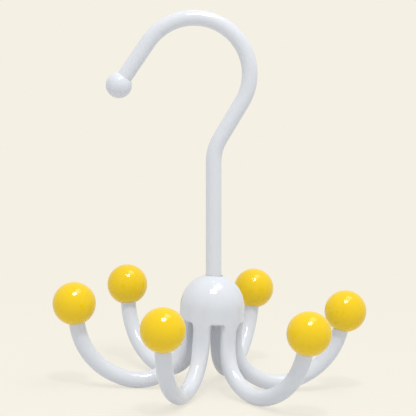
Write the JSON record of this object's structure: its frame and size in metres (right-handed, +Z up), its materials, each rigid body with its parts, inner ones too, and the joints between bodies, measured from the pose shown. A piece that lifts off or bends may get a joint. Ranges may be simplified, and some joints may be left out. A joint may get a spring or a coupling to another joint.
{
  "type": "tie hanger",
  "caption": "Tie hanger with a ball-tipped swivel hook over a domed hub, and curved arms below that end in coloured balls.",
  "frame": {"origin": "on the surface that the hanger stands on, under the hub's axis", "axes": "+Z up along the hub's axis; the hook lies in the XZ plane with its open side and its lean towards -X"},
  "size_m": [0.1476, 0.1428, 0.1771],
  "materials": {
    "white_plastic": "glossy moulded plastic, cool white",
    "yellow_plastic": "glossy moulded plastic, warm yellow",
    "white_enamel": "gloss white enamel on steel rod",
    "steel": "plain bright steel",
    "nylon": "natural nylon"
  },
  "bodies": {
    "spider": {"hub_shell": "white_plastic", "base_plate": "white_plastic", "arm_1": "white_plastic", "arm_2": "white_plastic", "arm_3": "white_plastic", "arm_4": "white_plastic", "arm_5": "white_plastic", "arm_6": "white_plastic", "ball_1": "yellow_plastic", "ball_2": "yellow_plastic", "ball_3": "yellow_plastic", "ball_4": "yellow_plastic", "ball_5": "yellow_plastic", "ball_6": "yellow_plastic"},
    "swivel": {"swivel_bush": "nylon"},
    "hook": {"thrust_washer": "steel", "retaining_clip": "steel", "hook_rod": "white_enamel", "tip_ball": "white_plastic"}
  },
  "joints": [
    {"name": "hook_swivel", "type": "hinge", "parent": "spider", "child": "swivel", "pos_m": [0, 0, 0.04986], "axis": [0, 0, 1], "continuous": true},
    {"name": "hook_lean", "type": "hinge", "parent": "swivel", "child": "hook", "pos_m": [0, 0, 0.04986], "axis": [0, 1, 0], "range_deg": [0, 7.3]}
  ]
}
